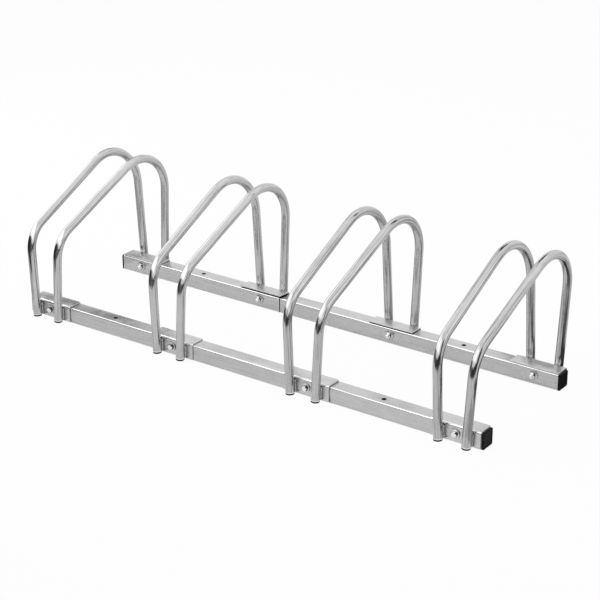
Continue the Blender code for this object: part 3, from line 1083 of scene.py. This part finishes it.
def seen_share(tree, camera_share, reflection_share):
    """Share of plain white: one for camera rays, one for reflected and refracted rays, none for light."""
    rays = tree.nodes.new("ShaderNodeLightPath").outputs
    bounced = calculate(tree, "MAXIMUM", rays["Is Glossy Ray"], rays["Is Transmission Ray"])
    reflected = calculate(tree, "MULTIPLY", bounced, reflection_share)
    return calculate(tree, "MULTIPLY_ADD", rays["Is Camera Ray"], camera_share, reflected)


def mix_shaders(tree, share, first, second, output):
    """Mix of two shaders, linked to the tree's output node."""
    mix = tree.nodes.new("ShaderNodeMixShader")
    for source, socket in zip((share, first.outputs[0], second.outputs[0]), mix.inputs):
        tree.links.new(source, socket)
    tree.links.new(mix.outputs[0], tree.nodes[output].inputs["Surface"])


def add_floor():
    """Wide pale floor that keeps a faint shadow of the stand."""
    work = bmesh.new()
    bmesh.ops.create_grid(work, x_segments=6, y_segments=6, size=FLOOR_HALF)
    material, tree, shader = new_material("floor_white")
    shader.inputs["Base Color"].default_value = (0.88, 0.88, 0.88, 1)
    shader.inputs["Roughness"].default_value = 0.9
    white = add_node(tree, "ShaderNodeEmission", strength=1.0)
    mix_shaders(tree, seen_share(tree, 0.95, 0.2), shader, white, "Material Output")
    floor = new_object("floor", painted(finish_mesh(work, "floor"), material))


def set_world():
    """White where the camera or a reflection sees it, soft grey as light."""
    world = bpy.data.worlds.new("studio")
    bpy.context.scene.world = world
    world.use_nodes = True
    tree = world.node_tree
    fill = tree.nodes["Background"]
    fill.inputs["Color"].default_value = (1, 1, 1, 1)
    fill.inputs["Strength"].default_value = 0.6
    seen = add_node(tree, "ShaderNodeBackground", strength=1.0)
    seen.inputs["Color"].default_value = (1, 1, 1, 1)
    mix_shaders(tree, seen_share(tree, 1.0, 1.0), fill, seen, "World Output")


def add_softbox(name, center, facing, width, height, radiance):
    """Rectangular soft light that points along facing and isn't seen by the camera."""
    data = bpy.data.lights.new(name, "AREA")
    data.shape = "RECTANGLE"
    data.size = width
    data.size_y = height
    data.energy = radiance * math.pi * width * height
    lamp = new_object(name, data)
    lamp.location = center
    lamp.rotation_mode = "QUATERNION"
    lamp.rotation_quaternion = Vector(facing).to_track_quat("-Z", "Y")
    lamp.visible_camera = False
    return lamp


def add_lamps():
    """Soft lights that the metal reflects, and a key light that only casts light."""
    facing = (0.259, 0.966, 0.0)
    add_softbox("front_softbox", (-0.07, -0.967, 1.165), facing, 0.68, 1.17, 0.95)
    add_softbox("front_right_softbox", (0.558, -1.135, 1.165), facing, 0.62, 1.17, 0.75)
    add_softbox("corner_softbox", (-1.11, -0.69, 1.44), facing, 1.47, 1.72, 0.95)
    add_softbox("left_softbox", (-1.8, 0.2, 1.35), (1, 0, 0), 1.5, 2.3, 0.75)
    add_softbox("top_softbox", (0.3, 0.9, 2.3), (0, 0, -1), 3.4, 2.6, 0.18)
    add_softbox("right_softbox", (2.2, 0.2, 1.5), (-1, 0, 0), 1.8, 1.3, 0.35)
    key = add_softbox("key_softbox", (-1.2, -0.7, 2.6), (0.4, 0.25, -0.9), 1.2, 1.2, 1.6)
    key.visible_glossy = False


def add_card(name, first_edge, second_edge, tone):
    """Studio card between two edges of points that only shows in reflections, with an even tone."""
    work = bmesh.new()
    sections = list(zip(first_edge, second_edge))
    for (low_a, high_a), (low_b, high_b) in zip(sections, sections[1:]):
        corners = [low_a, low_b, high_b, high_a]
        work.faces.new([work.verts.new(corner) for corner in corners])
    bmesh.ops.remove_doubles(work, verts=work.verts, dist=1e-5)
    mesh = bpy.data.meshes.new(name)
    work.to_mesh(mesh)
    work.free()
    material, _, shader = new_material(f"{name}_tone")
    shader.inputs["Base Color"].default_value = (0, 0, 0, 1)
    shader.inputs["Specular IOR Level"].default_value = 0
    shader.inputs["Emission Color"].default_value = (1, 1, 1, 1)
    shader.inputs["Emission Strength"].default_value = tone
    card = new_object(name, painted(mesh, material))
    card.visible_camera = False
    card.visible_diffuse = False
    card.visible_transmission = False
    card.visible_shadow = False


def standing_card(name, posts, tone, bottom=CARD_FOOT):
    """Upright card through posts that each give a place on the floor and the card's top there."""
    add_card(name, [(*post[:2], bottom) for post in posts], posts, tone)


def flat_card(name, near, far, tone, height=FLOOR_CARD_HEIGHT):
    """Level card between two lines of points, on the floor if no height is given."""
    add_card(name, [(*point, height) for point in near], [(*point, height) for point in far], tone)


def flat_strip(name, reach, depth, tone):
    """Rectangular card on the floor, from its ends along X and along Y."""
    near, far = ([(x, y) for x in reach] for y in depth)
    flat_card(name, near, far, tone)


def add_front_cards():
    """Dark and grey cards that stand in front of the stand in one bent row."""
    left = [(-0.93, 0.05, 0.18), (-0.9, -0.2, 0.19), (-0.8, -0.43, 0.34), (-0.6, -0.6, 0.41)]
    middle = [(-0.6, -0.6, 0.41), (-0.43, -0.67, 0.39), (-0.3, -0.7, 0.33)]
    centre = [(-0.3, -0.7, 0.32), (0, -0.72, 0.27), (0.2, -0.72, 0.25)]
    right = [(0.2, -0.72, 0.25), (0.5, -0.72, 0.22), (0.74, -0.62, 0.3), (0.87, -0.45, 0.3)]
    standing_card("left_dark_card", left, 0.03)
    standing_card("middle_dark_card", middle, 0.1)
    standing_card("centre_dark_card", centre, 0.18)
    standing_card("right_dark_card", right, 0.04)


def add_side_cards():
    """Cards beside, between and above the hoops."""
    standing_card("stand_dark_card", [(0.67, -0.335, 0.52), (0.75, -0.205, 0.52)], 0.04, 0.06)
    standing_card("right_pale_card", [(1.2, -1.3, 0.8), (1.7, -0.6, 0.8)], 1.25)
    standing_card("right_grey_card", [(1.7, -0.6, 0.8), (1.75, 1.2, 0.8)], 0.9)
    standing_card("left_grey_card", [(-1.05, 0.35, 0.42), (-0.67, 0.35, 0.42)], 0.16, 0.2)
    standing_card("fading_grey_card", [(-0.67, 0.35, 0.42), (-0.6, 0.35, 0.42)], 0.6, 0.2)
    standing_card("rear_left_card", [(-0.74, 0.35, 0.2), (-0.6, 0.35, 0.2)], 0.66, 0.09)
    standing_card("rear_right_card", [(0.285, 0.35, 0.2), (0.4, 0.35, 0.2)], 0.42, 0.09)
    standing_card("boom_dark_card", [(0.21, 0.24, 0.76), (0.41, 0.32, 0.76)], 0.04, 0.46)
    standing_card("pole_dark_card", [(0.2, 0.28, 1.4), (0.27, 0.31, 1.4)], 0.2, 0.76)
    flat_card("ceiling_grey_card", [(1.0, -0.25), (1.6, -0.25)], [(1.0, 0.3), (1.6, 0.3)], 0.5, 2.2)


def add_front_floor_cards():
    """Grey cards on the floor in front of the stand and under its front legs; one beside the last place is a
    painted shadow of the stand.
    """
    left = [(-0.8, -0.43), (-0.6, -0.6), (-0.42, -0.67)]
    right = [(0.08, -0.72), (0.5, -0.72), (0.74, -0.62), (0.87, -0.45)]
    flat_card("front_left_floor_card", [(-0.74, -0.36), (-0.55, -0.4), (-0.43, -0.45)], left, 0.05)
    flat_card("front_floor_card", [(-0.42, -0.55), (0.08, -0.57)], [left[-1], right[0]], 0.4)
    near = [(0.08, -0.57), (0.45, -0.52), (0.65, -0.46), (0.8, -0.33)]
    flat_card("front_right_floor_card", near, right, 0.07)
    flat_strip("web_floor_card", (-0.55, 0.12), (-0.15, -0.215), 0.8)
    flat_strip("web_right_floor_card", (0.12, 0.49), (-0.15, -0.215), 0.86)
    # Painted shadow of the stand's right end on the floor, seen only in reflections
    flat_strip("leg_floor_card", (0.5, 0.62), (-0.3, -0.02), 0.45)
    outer = [(-0.93, 0.05), (-0.9, -0.2), (-0.8, -0.43)]
    middle = [(-0.82, 0.03), (-0.8, -0.2), (-0.72, -0.38)]
    flat_card("knee_floor_card", outer, middle, 0.2)
    flat_card("left_floor_card", middle, [(-0.53, 0.03), (-0.53, -0.17), (-0.53, -0.3)], 0.5)


def add_rear_floor_cards():
    """Grey and pale cards on the floor behind the stand and beside its last place; two of them are painted
    shadows of the stand.
    """
    # Painted shadow of the last rear leg on the floor, seen only in reflections
    near = [(0.465, 0.27), (0.475, 0.16), (0.51, 0.1), (0.585, -0.055), (0.705, -0.225)]
    far = [(0.585, 0.27), (0.605, 0.18), (0.61, 0.1), (0.66, -0.035), (0.77, -0.155)]
    flat_card("leg_strip_card", near, far, 0.06)
    near = [(0.606, 0.2), (0.61, 0.1), (0.66, -0.035)]
    flat_card("crown_floor_card", near, [(0.74, 0.22), (0.86, 0.12), (0.86, -0.02)], 0.15)
    near = [(-1.7, -0.35), (-0.56, -0.35), (-0.5, 0.22), (-0.05, 0.22)]
    far = [(-1.7, 0.38), (-0.6, 0.38), (-0.5, 0.38), (-0.05, 0.38)]
    flat_card("floor_grey_card", near, far, 0.64)
    near = [(-0.05, 0.22), (0.455, 0.22), (0.463, 0.271), (0.587, 0.271), (0.607, 0.22), (1.2, 0.22)]
    flat_card("floor_light_card", near, [(point[0], 0.38) for point in near], 0.68)
    # Painted shadow of the stand behind the rear rail, seen only in reflections
    flat_strip("crown_grey_card", (-0.5, 0.46), (0.15, 0.22), 0.42)
    flat_strip("floor_pale_card", (-1.7, 1.2), (0.38, 1.6), 0.85)


def build_studio():
    """Camera, floor, soft lights and the cards that shape the reflections."""
    add_camera()
    set_world()
    add_floor()
    add_lamps()
    add_front_cards()
    add_side_cards()
    add_front_floor_cards()
    add_rear_floor_cards()
    bpy.context.scene.view_settings.view_transform = "Standard"


build_studio()
build_stand()
